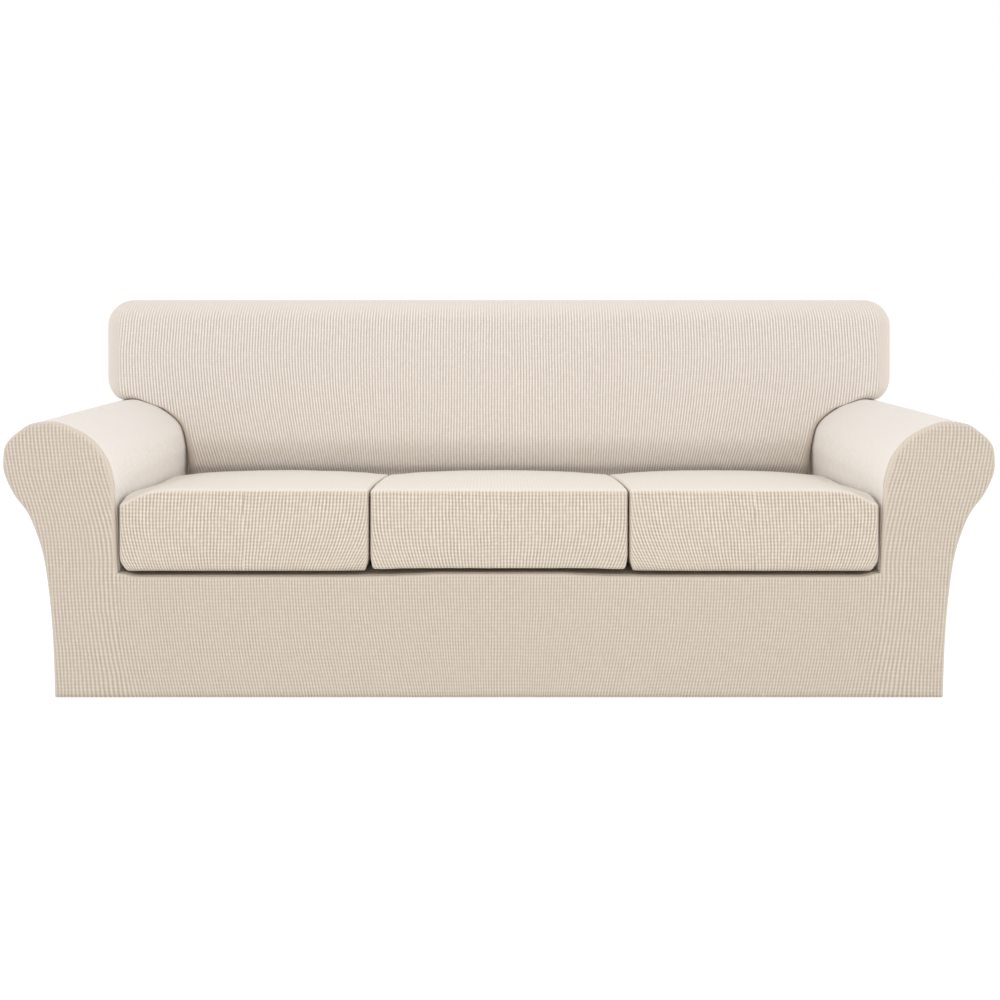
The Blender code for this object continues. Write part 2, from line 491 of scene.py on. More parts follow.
@dataclass(frozen=True)
class StretchJacquard:
    """Polyester and elastane stretch jacquard, knitted in a small raised waffle.

    To the eye it is matt, with light beads in upright rows and dark pits between them. The rows show more
    than the courses across them. Where the cloth faces up or is turned half aside, painted light fades the
    pattern and mixes its colour toward a painted tone: painted light and shade for how the light falls
    there.
    """

    name: str
    bead: str = "#DACFC1"
    pit: str = "#9A8B79"
    # Painted tone that the colour is drawn toward where the cloth faces up or half aside: painted light
    # and shade
    painted_facing_tone: str = "#E4DBD0"
    wale: float = WALE
    course: float = 0.0079  # distance between the beads of a row
    course_share: float = 0.30  # how deep the courses are against the rows
    # How the uneven stretch makes the rows wander: cycles in a metre, reach
    wanders: tuple[Spot, ...] = ((33.0, 0.0022), (7.0, 0.008))
    wander: float = 1.0  # how much they do, against loosely stretched cloth
    speckle: float = 0.30  # how far one bead is lighter than the next
    patches: float = 0.26  # how much plainer the pattern is in some places than in others
    patch_scale: float = 24.0  # such places in a metre
    relief: float = 0.0006
    strength: float = 1.0
    tone_gain: float = 0.38
    up_share: float = 1.0  # how much the pattern is lost where the cloth faces up
    side_share: float = 1.0  # and where it is turned half aside
    turned: Spot = (0.12, 0.80)  # how far it is turned where that begins, where it is complete
    least: float = 0.25  # share of the pattern that is left there
    painted_tone_share: float = 0.35  # how far the colour is mixed there toward the painted tone: painted light and shade
    roughness: float = 0.9

    def material(self) -> bpy.types.Material:
        """Build the cloth's material from its own places in the flat cloth.

        Returns:
            The material.
        """
        made = bpy.data.materials.new(self.name)
        made.use_nodes = True
        made.node_tree.nodes.clear()
        add = partial(add_node, made.node_tree)
        multiply = ("Math", {"operation": "MULTIPLY"})
        multiply_add = ("Math", {"operation": "MULTIPLY_ADD"})
        flat = add("UVMap", {"uv_map": "weave"})
        wander = flat
        for scale, reach in self.wanders:
            cloud = add("TexNoise", {"noise_dimensions": "2D"},
                        {"Vector": flat, "Scale": scale, "Detail": 1.0})
            centred = add("VectorMath", {"operation": "SUBTRACT"},
                          {0: cloud.outputs["Color"], 1: (0.5, 0.5, 0.5)})
            reaches = (reach * self.wander, reach * self.wander, 0.0)
            wander = add("VectorMath", {"operation": "MULTIPLY_ADD"},
                         {0: centred, 1: reaches, 2: wander})
        counted = add("VectorMath", {"operation": "DIVIDE"},
                      {0: wander, 1: (self.wale, self.course, 1.0)})
        split = add("SeparateXYZ", {}, {0: counted})
        waves = []
        for axis in ("X", "Y"):
            turn = add(*multiply, {0: split.outputs[axis], 1: 2 * math.pi})
            waves.append(add("Math", {"operation": "COSINE"}, {0: turn}))
        # Beads: the courses only cut into the rows, so their wave counts for less
        beads = add(*multiply_add, {0: waves[1], 1: self.course_share, 2: waves[0]})
        # Each bead is a little lighter or darker than the next
        middle = add("VectorMath", {"operation": "ADD"}, {0: counted, 1: (0.5, 0.5, 0.0)})
        cell = add("VectorMath", {"operation": "FLOOR"}, {0: middle})
        grain = add("TexWhiteNoise", {"noise_dimensions": "2D"}, {"Vector": cell})
        speck = add(*multiply_add, {0: grain.outputs["Value"], 1: self.speckle * 2, 2: -self.speckle})
        height = add("Math", {"operation": "ADD"}, {0: beads, 1: speck})
        # The pattern is plainer in patches, and faded by painted light where the cloth faces up or is
        # turned half aside
        patch = add("TexNoise", {"noise_dimensions": "2D"},
                    {"Vector": flat, "Scale": self.patch_scale, "Detail": 3.0})
        contrast = add(*multiply_add,
                       {0: patch.outputs["Fac"], 1: 2 * self.patches, 2: 1.0 - self.patches})
        lie = add("NewGeometry")
        facing = add("SeparateXYZ", {}, {0: lie.outputs["Normal"]})
        up = add(*multiply, {0: facing.outputs["Z"], 1: self.up_share})
        diagonal = add(*multiply, {0: facing.outputs["X"], 1: facing.outputs["Y"]})
        aside = add("Math", {"operation": "ABSOLUTE"}, {0: diagonal})
        sideways = add(*multiply, {0: aside, 1: 2.0 * self.side_share})
        most = add("Math", {"operation": "MAXIMUM"}, {0: up, 1: sideways})
        painted_light_mask = add("MapRange", {"interpolation_type": "SMOOTHSTEP"},
                   {"Value": most, "From Min": self.turned[0], "From Max": self.turned[1]})
        visible = add(*multiply_add, {0: painted_light_mask, 1: (self.least - 1) * self.strength, 2: self.strength})
        shown = add(*multiply, {0: contrast, 1: visible})
        relief = add(*multiply, {0: height, 1: shown})
        tone = add("Math", {"operation": "MULTIPLY_ADD", "use_clamp": True},
                   {0: relief, 1: self.tone_gain, 2: 0.5})
        colour = add("Mix", {"data_type": "RGBA"}, {0: tone, 6: linear(self.pit), 7: linear(self.bead)})
        # Painted light and shade: where the cloth faces up or half aside, its colour is mixed toward the
        # painted tone
        faded = add(*multiply, {0: painted_light_mask, 1: self.painted_tone_share})
        painted_light_colour = add("Mix", {"data_type": "RGBA"},
                    {0: faded, 6: colour.outputs[2], 7: linear(self.painted_facing_tone)})
        bump = add("Bump", {}, {"Height": relief, "Distance": self.relief / 2, "Strength": 1.0})
        shader = add("BsdfPrincipled", {},
                     {"Base Color": painted_light_colour.outputs[2], "Normal": bump,
                      "Roughness": self.roughness, "Specular IOR Level": 0.25,
                      "Sheen Weight": 0.04, "Sheen Roughness": 0.6})
        add("OutputMaterial", {}, {"Surface": shader})
        return made


@dataclass(frozen=True)
class Edge:
    """A point of a panel's outline: its place, the radius it is rolled to, its seam's depth."""

    x: float
    z: float
    roll: float
    seam: float


@dataclass
class Piece:
    """What all cloth pieces of the cover have."""

    shape: SofaShape
    collection: bpy.types.Collection
    material: bpy.types.Material
    node: str = ""  # the solid that it stands for
    flat_size: Spot = (0.0, 0.0)
    flat_area: float = 0.0
    rests_on: tuple[str, ...] = ("arm_right", "arm_left")
    slot: str = "base_cloth"
    sheet: ClothSheet = field(init=False)

    def sew(self) -> None:
        """Add the faces of the piece to its sheet."""
        raise NotImplementedError

    def build(self) -> bpy.types.Object:
        """Returns:
            The finished piece.
        """
        self.sheet = ClothSheet(f"{self.node}_cloth", self.shape.cloth)
        self.sew()
        piece = self.sheet.finish(self.collection, self.material)
        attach(piece, "root")
        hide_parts(self.node)
        list(self.rests_on)
        half = sum(polygon.area for polygon in piece.data.polygons) / 2
        log.info("%s: %d faces, %.3f square metres against %.3f flat",
                 piece.name, len(piece.data.polygons), half, self.flat_area)
        return piece


@dataclass
class RolledPanel(Piece):
    """A panel whose outline is turned back round its edges."""

    spacing: float = 0.009
    net_share: float = 1.2  # how much wider apart the points of its face are
    wale_pitch: float = WALE
    behind: float = 1.0  # -1 for a panel that faces the rear
    roll_steps: int = 6
    flange_rows: int = 3
    pulls: tuple[Pull, ...] = ()
    folds: tuple[Fold, ...] = ()

    def face(self, height: float) -> float:
        """Depth of the panel at a height: a plain one hangs upright."""
        return self.shape.front if self.behind > 0 else self.shape.rear

    def drawn(self, x: float, z: float) -> float:
        """How far the stretch draws the wales outwards here."""
        return sum(pull.at(abs(x), z) for pull in self.pulls)

    def flat(self, x: float, z: float) -> Spot:
        """Place in the flat cloth of what lies here."""
        return (x + math.copysign(self.drawn(x, z), x)) * WALE / self.wale_pitch, z

    def place(self, x: float, z: float) -> Place:
        """Place of a point of the face, which stands proud at its folds."""
        proud = sum(fold.at(x, z) for fold in self.folds)
        return x, self.face(z) - self.behind * proud, z

    def sew_panel(self, outline: list[Edge]) -> None:
        """Build the rolled edge and fill what it encloses, down to a plain lower edge.

        Args:
            outline: The rolled outline without that edge, turning left as seen from in front.
        """
        normals = left_normals([(edge.x, edge.z) for edge in outline])
        flange = [(share, 0.0) for share in evenly(0.0, 1.0, self.flange_rows)[:-1]]
        roll = [(1.0, turn) for turn in evenly(0.0, math.pi / 2, self.roll_steps)]
        rows = []
        for share, turn in flange + roll:
            row = []
            for edge, (nx, nz) in zip(outline, normals):
                nz = nz if edge.z else 0.0
                step = edge.roll * (1 - math.cos(turn))
                x, z = edge.x + nx * step, edge.z + nz * step
                proud = sum(fold.at(x, z) for fold in self.folds) * math.sin(turn)
                y = self.face(z) + self.behind * (edge.roll * (1 - math.sin(turn)) - proud)
                out = edge.roll * (math.pi / 2 - turn) + abs(edge.seam - y) * (1 - share)
                y = edge.seam + (y - edge.seam) * share
                inner = edge.x + nx * (edge.roll - out), edge.z + nz * (edge.roll - out)
                row.append(self.sheet.point((x, y, z), self.flat(*inner)))
            rows.append(row)
        for outer, inner in zip(rows, rows[1:]):
            pair = (outer, inner) if self.behind > 0 else (inner, outer)
            self.sheet.strip(*pair)
        half, foot = outline[0].x - outline[0].roll, outline[0].z
        closing = resampled([(-half, foot), (half, foot)], self.spacing)[1:-1]
        rim = rows[-1] + [self.sheet.point(self.place(*spot), self.flat(*spot)) for spot in closing]
        layout = [(point.vertex.co.x, point.vertex.co.z) for point in rim]
        self.sheet.fill(rim, layout, self.spacing * self.net_share, self.place, self.flat)


@dataclass
class FrontApron(RolledPanel):
    """Both arm fronts and the skirt between them, one U-shaped panel."""

    node: str = "front_apron"
    flat_size: Spot = (2.24, 0.64)
    flat_area: float = 0.68
    wale_pitch: float = 0.0066
    arm_pitch: float = 0.0074  # the same on the arm fronts
    roll_rise: float = 0.03  # height above the seat at which its edge has the arms' radius
    inner_reach: float = 0.86  # the arms' inside lies nearer to the middle plane than this

    def flat(self, x: float, z: float) -> Spot:
        """The skirt's wales stand closer than those of the arms."""
        distance, turn = abs(x) + self.drawn(x, z), self.shape.seat_half
        scaled = min(distance, turn) / self.wale_pitch + max(distance - turn, 0) / self.arm_pitch
        return math.copysign(scaled * WALE, x), z

    def sew(self) -> None:
        """Sew the panel."""
        shape = self.shape
        outer, inner = shape.arm_halves(self.spacing)
        right = outer + inner[1:]
        edge = resampled([right[-1], (-right[-1][0], right[-1][1])], self.spacing)[1:-1]
        seat = [(x, z - shape.sag(x)) for x, z in edge]
        outline = []
        for x, z in right + seat + mirrored(right):
            share = ease(z, shape.deck_top, shape.deck_top + self.roll_rise)
            share = share if abs(x) < self.inner_reach else 1.0
            roll = shape.skirt_roll + (shape.panel_roll - shape.skirt_roll) * share
            outline.append(Edge(x, z, roll, shape.front + shape.panel_seam))
        self.sew_panel(outline)


@dataclass
class InsideBack(RolledPanel):
    """Face of the back with its wings, over the top and round the wings' ends."""

    node: str = "inside_back"
    flat_size: Spot = (2.60, 0.90)
    flat_area: float = 1.78
    rests_on: tuple[str, ...] = ("outside_back",)
    wale_pitch: float = 0.00785
    flange_rows: int = 14
    roll_steps: int = 9
    roll: float = 0.055
    end_roll: float = 0.060  # the same at the wings' ends
    end_reach: Spot = (0.95, 1.06)  # from which to which distance it grows to that
    foot_roll: float = 0.024  # the same where the wing stands on the arm
    foot_reach: Spot = (0.965, 1.025)  # from which to which distance it grows to that
    # Roll beside the arm: height on the arm's inside, radius
    tuck: tuple[Spot, ...] = ((0.2735, 0.030), (0.43, 0.030), (0.53, 0.018), (0.600, 0.006))
    tuck_behind: float = 0.007
    # Gap between that roll and the arm: height, width
    gap: tuple[Spot, ...] = ((0.2735, 0.0070), (0.46, 0.0075), (0.53, 0.0115),
                             (0.575, 0.0060), (0.598, 0.0008))

    def face(self, height: float) -> float:
        """The back is raked, and drawn back behind the cushions."""
        return self.shape.inside_face(height)

    def flat(self, x: float, z: float) -> Spot:
        """The face is longer than it is high."""
        across, along = super().flat(x, z)
        return across, along / math.cos(self.shape.rake)

    def sew(self) -> None:
        """Sew the panel."""
        shape = self.shape
        beside = shape.arm_halves(self.spacing)[1][::-1]
        right = []
        for (x, z), (nx, nz) in zip(beside[:-1], left_normals(beside)):
            roll, gap = between(z, self.tuck), between(z, self.gap)
            if x >= self.foot_reach[0]:
                least, gap = self.tuck[-1][1], self.gap[-1][1]
                roll = least + (self.foot_roll - least) * ease(x, *self.foot_reach)
            behind = self.face(z) + roll + self.tuck_behind
            nz = 0.0 if z <= shape.deck_top else nz
            right.append(Edge(x + nx * gap, z + nz * gap, roll, behind))
        wing = shape.wing(self.spacing)
        corner = shape.wing_corner * abs(shape.wing_start)
        for (x, z), run in zip(wing, travelled(wing)):
            full = self.roll + (self.end_roll - self.roll) * ease(x, *self.end_reach)
            roll = self.foot_roll + (full - self.foot_roll) * ease(run, 0.0, corner)
            right.append(Edge(x, z, roll, shape.rear - shape.panel_seam - shape.seam))
        left = [Edge(-edge.x, edge.z, edge.roll, edge.seam) for edge in reversed(right[:-1])]
        self.sew_panel(right + left)


@dataclass
class OutsideBack(RolledPanel):
    """Plain rear panel, down to the floor."""

    node: str = "outside_back"
    flat_size: Spot = (2.30, 0.92)
    flat_area: float = 1.85
    behind: float = -1.0
    spacing: float = 0.012

    def sew(self) -> None:
        """Sew the panel."""
        shape = self.shape
        right = shape.arm_halves(self.spacing)[0][:-1] + shape.wing(self.spacing)
        seam = shape.rear - shape.panel_seam
        self.sew_panel([Edge(x, z, shape.panel_roll, seam) for x, z in right + mirrored(right)[1:]])
        self.sheet.face_outwards()


@dataclass
class ArmPanel(Piece):
    """Inside arm, over the roll and down the outside to the floor, one panel."""

    flat_size: Spot = (1.12, 0.90)
    flat_area: float = 0.87
    rests_on: tuple[str, ...] = ("seat_deck", "inside_back")
    side: Side = Side.RIGHT
    spacing: float = 0.010
    middle_height: float = 0.5  # height at which the cloth's points are spaced so
    tucked: float = 0.092  # how far the inner cloth goes on past the face of the back
    gather_pitch: float = 0.010
    gather_reach: float = 0.028
    gather_depth: float = 0.0009
    gather_rise: float = 0.06  # height over the seat at which the gathers are full
    gather_sway: Spot = (1.3, 41.0)  # how unevenly they follow one another: reach, rate
    inner_reach: Spot = (1.02, 0.93)  # between these distances the outside gives way to the inside
    bow_start: float = 0.05  # how far behind the front the bow begins
    # How far the stretched cloth bows out before it tucks in: height, bow
    swell: tuple[Spot, ...] = ((0.2735, 0.0), (0.41, -0.002), (0.45, 0.003),
                               (0.487, 0.008), (0.53, 0.011), (0.585, 0.003), (0.606, 0.0))

    def __post_init__(self) -> None:
        """Name the solid after the side."""
        self.node = f"arm_{self.side.name.lower()}"

    def sew(self) -> None:
        """Sew the panel, whose rear stretch lies on the outside only."""
        shape = self.shape
        outer, inner = shape.arm_halves(self.spacing)
        path = outer + inner[1:]
        front = shape.front + shape.panel_seam + shape.seam
        rear = shape.rear - shape.panel_seam - shape.seam
        turn = shape.back_face(self.middle_height)
        columns = math.ceil((turn - front) / self.spacing)
        rear_columns = math.ceil((rear - turn) / self.spacing)
        before, beyond = [], []
        for spot, normal, run in zip(path, left_normals(path), travelled(path)):
            middle = shape.back_face(spot[1]) + self.tucked
            before.append([self.cloth_point(spot, normal, y, run)
                           for y in evenly(front, middle, columns)])
            if len(before) <= len(outer):
                rest = evenly(middle, rear, rear_columns)[1:]
                beyond.append([before[-1][-1], *(self.cloth_point(spot, normal, y, run) for y in rest)])
        for rows in (before, beyond):
            for below, above in zip(rows, rows[1:]):
                pair = (above, below) if self.side is Side.RIGHT else (below, above)
                self.sheet.strip(*pair)
        self.sheet.face_outwards()

    def cloth_point(self, spot: Spot, normal: Spot, y: float, run: float) -> ClothPoint:
        """Add a point of the arm, with the small gathers where the cloth tucks in.

        Args:
            spot: Its place on the arm's outline.
            normal: The outline's normal there, towards the inside of the arm.
            y: Its depth.
            run: How far along the outline it is.

        Returns:
            The point.
        """
        seat = self.shape.deck_top
        back = self.shape.back_face(spot[1])
        inside = ease(spot[0], *self.inner_reach) * ease(spot[1], seat, seat + self.gather_rise)
        reach, rate = self.gather_sway
        turn = 2 * math.pi * run / self.gather_pitch + reach * math.sin(run * rate)
        gather = self.gather_depth * ease(y, back - self.gather_reach, back)
        bow = between(spot[1], self.swell) * ease(y, self.shape.front + self.bow_start, back)
        dip = (gather * (0.5 + 0.5 * math.sin(turn)) - bow) * inside
        x = spot[0] + normal[0] * dip
        z = spot[1] + (normal[1] * dip if spot[1] else 0.0)
        return self.sheet.point((self.side.value * x, y, z), (y, run))


@dataclass
class SeatDeck(Piece):
    """Flat panel that lies on the seat frame under the cushions."""

    node: str = "seat_deck"
    flat_size: Spot = (1.69, 0.55)
    flat_area: float = 0.92
    columns: int = 160
    rows: int = 40
    corner: float = 0.040  # how much deeper it reaches where the back turns away from the seat
    corner_reach: Spot = (0.045, 0.010)  # from which to which distance from the arm
    sag_reach: Spot = (0.01, 0.11)  # how far back the sag of its front edge starts to fade, is gone

    def sew(self) -> None:
        """Sew the panel."""
        shape = self.shape
        half = shape.seat_half - shape.seam
        front = shape.front + shape.panel_seam + shape.seam
        rear = shape.inside_face(shape.deck_top) - shape.seam
        made = []
        for share in evenly(0.0, 1.0, self.rows):
            held = 1 - ease(share * (rear - front), *self.sag_reach)
            points = []
            for x in evenly(-half, half, self.columns):
                deeper = self.corner * ease(half - abs(x), *self.corner_reach)
                place = (x, front + (rear + deeper - front) * share,
                         shape.deck_top - shape.sag(x) * held)
                points.append(self.sheet.point(place, place[:2]))
            made.append(points)
        for near, far in zip(made, made[1:]):
            self.sheet.strip(near, far)


# Foot of a cushion cover, drawn under by the elastic:
# height over the deck, how far the front is drawn in, how far the sides are
SHARP_FOOT: tuple[Row, ...] = (
    (0.0000, 0.0800, 0.0140), (0.0034, 0.0560, 0.0124), (0.0064, 0.0320, 0.0106),
    (0.0084, 0.0160, 0.0090), (0.0098, 0.0076, 0.0080), (0.0114, 0.0034, 0.0070),
    (0.0142, 0.0010, 0.0056), (0.0190, 0.0002, 0.0036), (0.0300, 0.0000, 0.0011),
    (0.0420, 0.0000, 0.0000),
)
LOW_FOOT: tuple[Row, ...] = (
    (0.0000, 0.0800, 0.0140), (0.0008, 0.0560, 0.0126), (0.0014, 0.0320, 0.0110),
    (0.0020, 0.0185, 0.0096), (0.0030, 0.0115, 0.0084), (0.0048, 0.0070, 0.0070),
    (0.0076, 0.0037, 0.0054), (0.0114, 0.0015, 0.0036), (0.0170, 0.0004, 0.0020),
    (0.0260, 0.0000, 0.0006), (0.0400, 0.0000, 0.0000),
)


@dataclass
class CushionCover(Piece):
    """Boxed cover of one seat cushion, with its elastic hem turned under."""

    node: str = "cushion_cover_middle"
    flat_size: Spot = (0.90, 0.95)
    flat_area: float = 0.80
    rests_on: tuple[str, ...] = ("seat_deck",)
    slot: str = "cushion_cloth"
    middle: float = 0.0
    width: float = 0.571
    sagging: tuple[Side, ...] = ()  # sides on which it lies beside an arm
    lift: float = 0.005  # how far its foot is lifted beside another cushion
    lift_width: float = 0.06
    lift_heights: Place = (0.011, 0.014, 0.065)  # over the deck: full, starts to fade, is gone
    lift_depths: Spot = (0.02, 0.12)  # behind the front: starts to fade, is gone
    waviness: float = 0.0010  # unevenness of the line of its foot
    waves: Spot = (22.0, 9.0)  # its waves in a metre, across and back
    setback: float = 0.001
    back_clearance: float = 0.004
    corner: float = 0.011
    least_corner: float = 0.005
    top_roll: float = 0.008
    foot_rows: tuple[Row, ...] = SHARP_FOOT
    hem: float = 0.105
    rim_height: float = 0.4590
    rim_fall: float = 0.0450  # how much lower its rear is
    rim_power: float = 1.5  # how late on the way back it falls
    crown: float = 0.0100
    unevenness: float = 0.0006
    dents: float = 16.0  # its dents in a metre
    corner_drop: float = 0.015
    corner_reach: float = 0.040
    side_drop: float = 0.0165  # how much lower the top lies beside the arm
    side_reach: float = 0.060
    side_fade: Spot = (0.45, 0.85)  # from which to which share of the way back
    side_rest: float = 0.2  # share of that drop that is left there
    corner_draw: float = 0.011  # how far the elastic draws in the lower corner beside the arm
    corner_width: float = 0.05
    corner_rise: float = 0.034
    rear_drop: float = 0.011  # how much lower its rear corners lie beside another cushion
    rear_reach: float = 0.038
    wall_rows: int = 20
    hem_rows: int = 6
    roll_rows: int = 6
    front_steps: int = 66
    side_steps: int = 54
    rear_steps: int = 40
    corner_steps: int = 8
    net_spacing: float = 0.011
    bulge: float = 0.004
    bulge_height: float = 0.165
    bulge_depths: Spot = (0.001, 0.012)  # behind the front: starts to fade, is gone
    fan: float = 0.158  # how much closer the wales stand at the foot than at the top
    fan_fall: float = 0.176
    fan_power: float = 2.5  # how late on the way down they draw together
    lean: float = 0.08
    seed: float = 0.0

    def __post_init__(self) -> None:
        """Lay out the wall before the elastic draws it."""
        self.half = self.width / 2
        self.foot = self.shape.deck_top + self.shape.seam
        self.nominal = self.outline(0.0, 0.0, self.rim_height - self.rim_fall)
        self.arounds = travelled(self.nominal)

    def outline(self, side_inset: float, end_inset: float, height: float) -> list[Spot]:
        """The cover's outline from above, from the middle of its front and turning left.

        Args:
            side_inset: How far its sides are moved in.
            end_inset: How far its front and rear are moved in.
            height: Height at which its rear follows the back.

        Returns:
            Its points about the cushion's own middle plane. The last one is the first again.
        """
        half = self.half - side_inset
        front = self.shape.front + self.setback + end_inset
        rear = self.shape.back_face(height) - self.back_clearance - end_inset
        radius = max(self.corner - side_inset, self.least_corner)
        spots = ((half, front), (half, rear), (-half, rear), (-half, front))
        corners = []
        for quarter, (x, y) in enumerate(spots, -1):
            centre = (x - math.copysign(radius, x), y + (radius if y == front else -radius))
            start = quarter * math.pi / 2
            corners.append(arc(centre, radius, start, start + math.pi / 2, self.corner_steps))
        counts = (self.side_steps, self.rear_steps, self.side_steps)
        begin = (0.0, front)
        points = self.run_between(begin, corners[0][0], self.front_steps // 2)
        for turned, count, following in zip(corners, counts, corners[1:]):
            points += turned[:-1] + self.run_between(turned[-1], following[0], count)
        points += corners[-1][:-1]
        points += self.run_between(corners[-1][-1], begin, self.front_steps // 2)
        return points + [begin]

    @staticmethod
    def run_between(start: Spot, end: Spot, steps: int) -> list[Spot]:
        """Evenly spaced points from start up to but without end."""
        return [tuple(Vector(start).lerp(Vector(end), step / steps)) for step in range(steps)]

    def top(self, x: float, y: float) -> float:
        """Find the height of the cover's top.

        Args:
            x: Distance from the cushion's middle plane.
            y: Depth.

        Returns:
            The height there.
        """
        shape = self.shape
        along = min(max((y - shape.front) / (shape.back_at_seat - shape.front), 0.0), 1.0)
        height = self.rim_height - self.rim_fall * along**self.rim_power
        height += self.crown * (1 - (x / self.half) ** 2) * (1 - (1 - along) ** 3)
        for side in Side:
            beside = x - side.value * self.half
            if side in self.sagging:
                distance = math.hypot(beside, y - shape.front)
                height -= self.corner_drop * bell(distance, self.corner_reach)
                fade = 1 - (1 - self.side_rest) * ease(along, *self.side_fade)
                height -= self.side_drop * bell(beside, self.side_reach) * fade
            else:
                distance = math.hypot(beside, y - shape.back_at_seat)
                height -= self.rear_drop * bell(distance, self.rear_reach)
        return height + self.unevenness * noise.noise((x * self.dents, y * self.dents, self.seed))

    def flat(self, x: float, y: float) -> Spot:
        """Place in the flat cloth of a point of the top."""
        return x, self.rim_height + y - self.shape.front

    def place(self, x: float, y: float) -> Place:
        """Place of a point of the top."""
        return self.middle + x, y, self.top(x, y)

    def drawn(self, around: float, z: float) -> float:
        """Place across the flat cloth of what lies on a wall, where the stretch fans the wales.

        Args:
            around: Distance round the cover from the middle of its front.
            z: Height.

        Returns:
            Place across the flat cloth.
        """
        length = self.arounds[-1]
        signed = around if around < length / 2 else around - length
        at = max(-self.half, min(self.half, signed))
        fall = min(max((self.rim_height - z) / self.fan_fall, 0.0), 1.1)
        fanned = at * self.fan * fall**self.fan_power
        lean = -sum(side.value for side in self.sagging) * self.lean * (self.rim_height - z)
        return around + fanned + lean

    def lifted(self, x: float, y: float, z: float) -> Place:
        """Where a point of the wall goes as the cushion swells and the elastic draws its foot.

        Args:
            x: Its distance from the cushion's middle plane.
            y: Its depth.
            z: Its height.

        Returns:
            The new place, from the same plane.
        """
        rise = z - self.foot
        behind = y - self.shape.front
        full, fading, gone = self.lift_heights
        low = ease(rise, 0.0, full) * (1 - ease(rise, fading, gone))
        front = 1 - ease(behind, *self.lift_depths)
        across, back = self.waves
        lift = self.waviness * noise.noise((x * across, y * back, self.seed + 7))
        for side in [end for end in Side if end not in self.sagging]:
            lift += self.lift * bell(x - side.value * self.half, self.lift_width)
        for side in self.sagging:
            near = ease(side.value * x, self.half - self.corner_width, self.half) * front
            x -= side.value * self.corner_draw * near * (1 - ease(rise, 0.0, self.corner_rise))
        middle_wall = math.sin(math.pi * min(max(rise / self.bulge_height, 0.0), 1.0))
        ends = max(1 - (abs(x) / self.half) ** 6, 0.0)
        facing = 1 - ease(behind, *self.bulge_depths)
        return x, y - self.bulge * middle_wall * ends * facing, z + low * front * lift

    def rings(self) -> Iterator[tuple[list[Spot], list[float], float]]:
        """Lay out the rings of the cover from the hem's edge to the rim of its top.

        Returns:
            For each ring its outline, the height at each point, and how far below its place
            in the cloth it lies, for the hem that is turned under.
        """
        foot_front, foot_side = self.foot_rows[0][1:]
        hem = [(0.0, foot_front + (self.hem - foot_front) * share,
                foot_side + (self.hem - foot_side) * share)
               for share in evenly(1.0, 0.0, self.hem_rows)[:-1]]
        for rise, end, side in (*hem, *self.foot_rows):
            height = self.foot + rise
            yield self.outline(side, end, height), [height] * len(self.nominal), end
        low = self.foot + self.foot_rows[-1][0]
        lower = self.outline(0.0, 0.0, low)
        tops = [self.top(x, y) - self.top_roll for x, y in self.nominal]
        for share in evenly(0.0, 1.0, self.wall_rows)[1:-1]:
            points = [tuple(Vector(a).lerp(Vector(b), share)) for a, b in zip(lower, self.nominal)]
            yield points, [low + (z - low) * share for z in tops], 0.0
        for turn in evenly(0.0, math.pi / 2, self.roll_rows):
            inset = self.top_roll * (1 - math.cos(turn))
            drop = self.top_roll * (1 - math.sin(turn))
            points = self.outline(inset, inset, self.rim_height - self.rim_fall)
            yield points, [self.top(x, y) - drop for x, y in points], 0.0

    def sew(self) -> None:
        """Sew the cover."""
        rows = []
        for points, heights, drop in self.rings():
            row = []
            for (x, y), z, around in zip(points[:-1], heights, self.arounds):
                moved, depth, height = self.lifted(x, y, z)
                flat = (self.drawn(around, z), z - drop)
                row.append(self.sheet.point((self.middle + moved, depth, height), flat))
            last = (self.drawn(self.arounds[-1], heights[0]), heights[0] - drop)
            rows.append([*row, row[0].moved(*last)])
        for lower, upper in zip(rows, rows[1:]):
            self.sheet.strip(lower, upper)
        rim_height = self.rim_height - self.rim_fall
        inner = self.outline(self.top_roll, self.top_roll, rim_height)[:-1]
        rim = [point.moved(*self.flat(*spot)) for point, spot in zip(rows[-1], inner)]
        self.sheet.fill(rim, inner, self.net_spacing, self.place, self.flat)


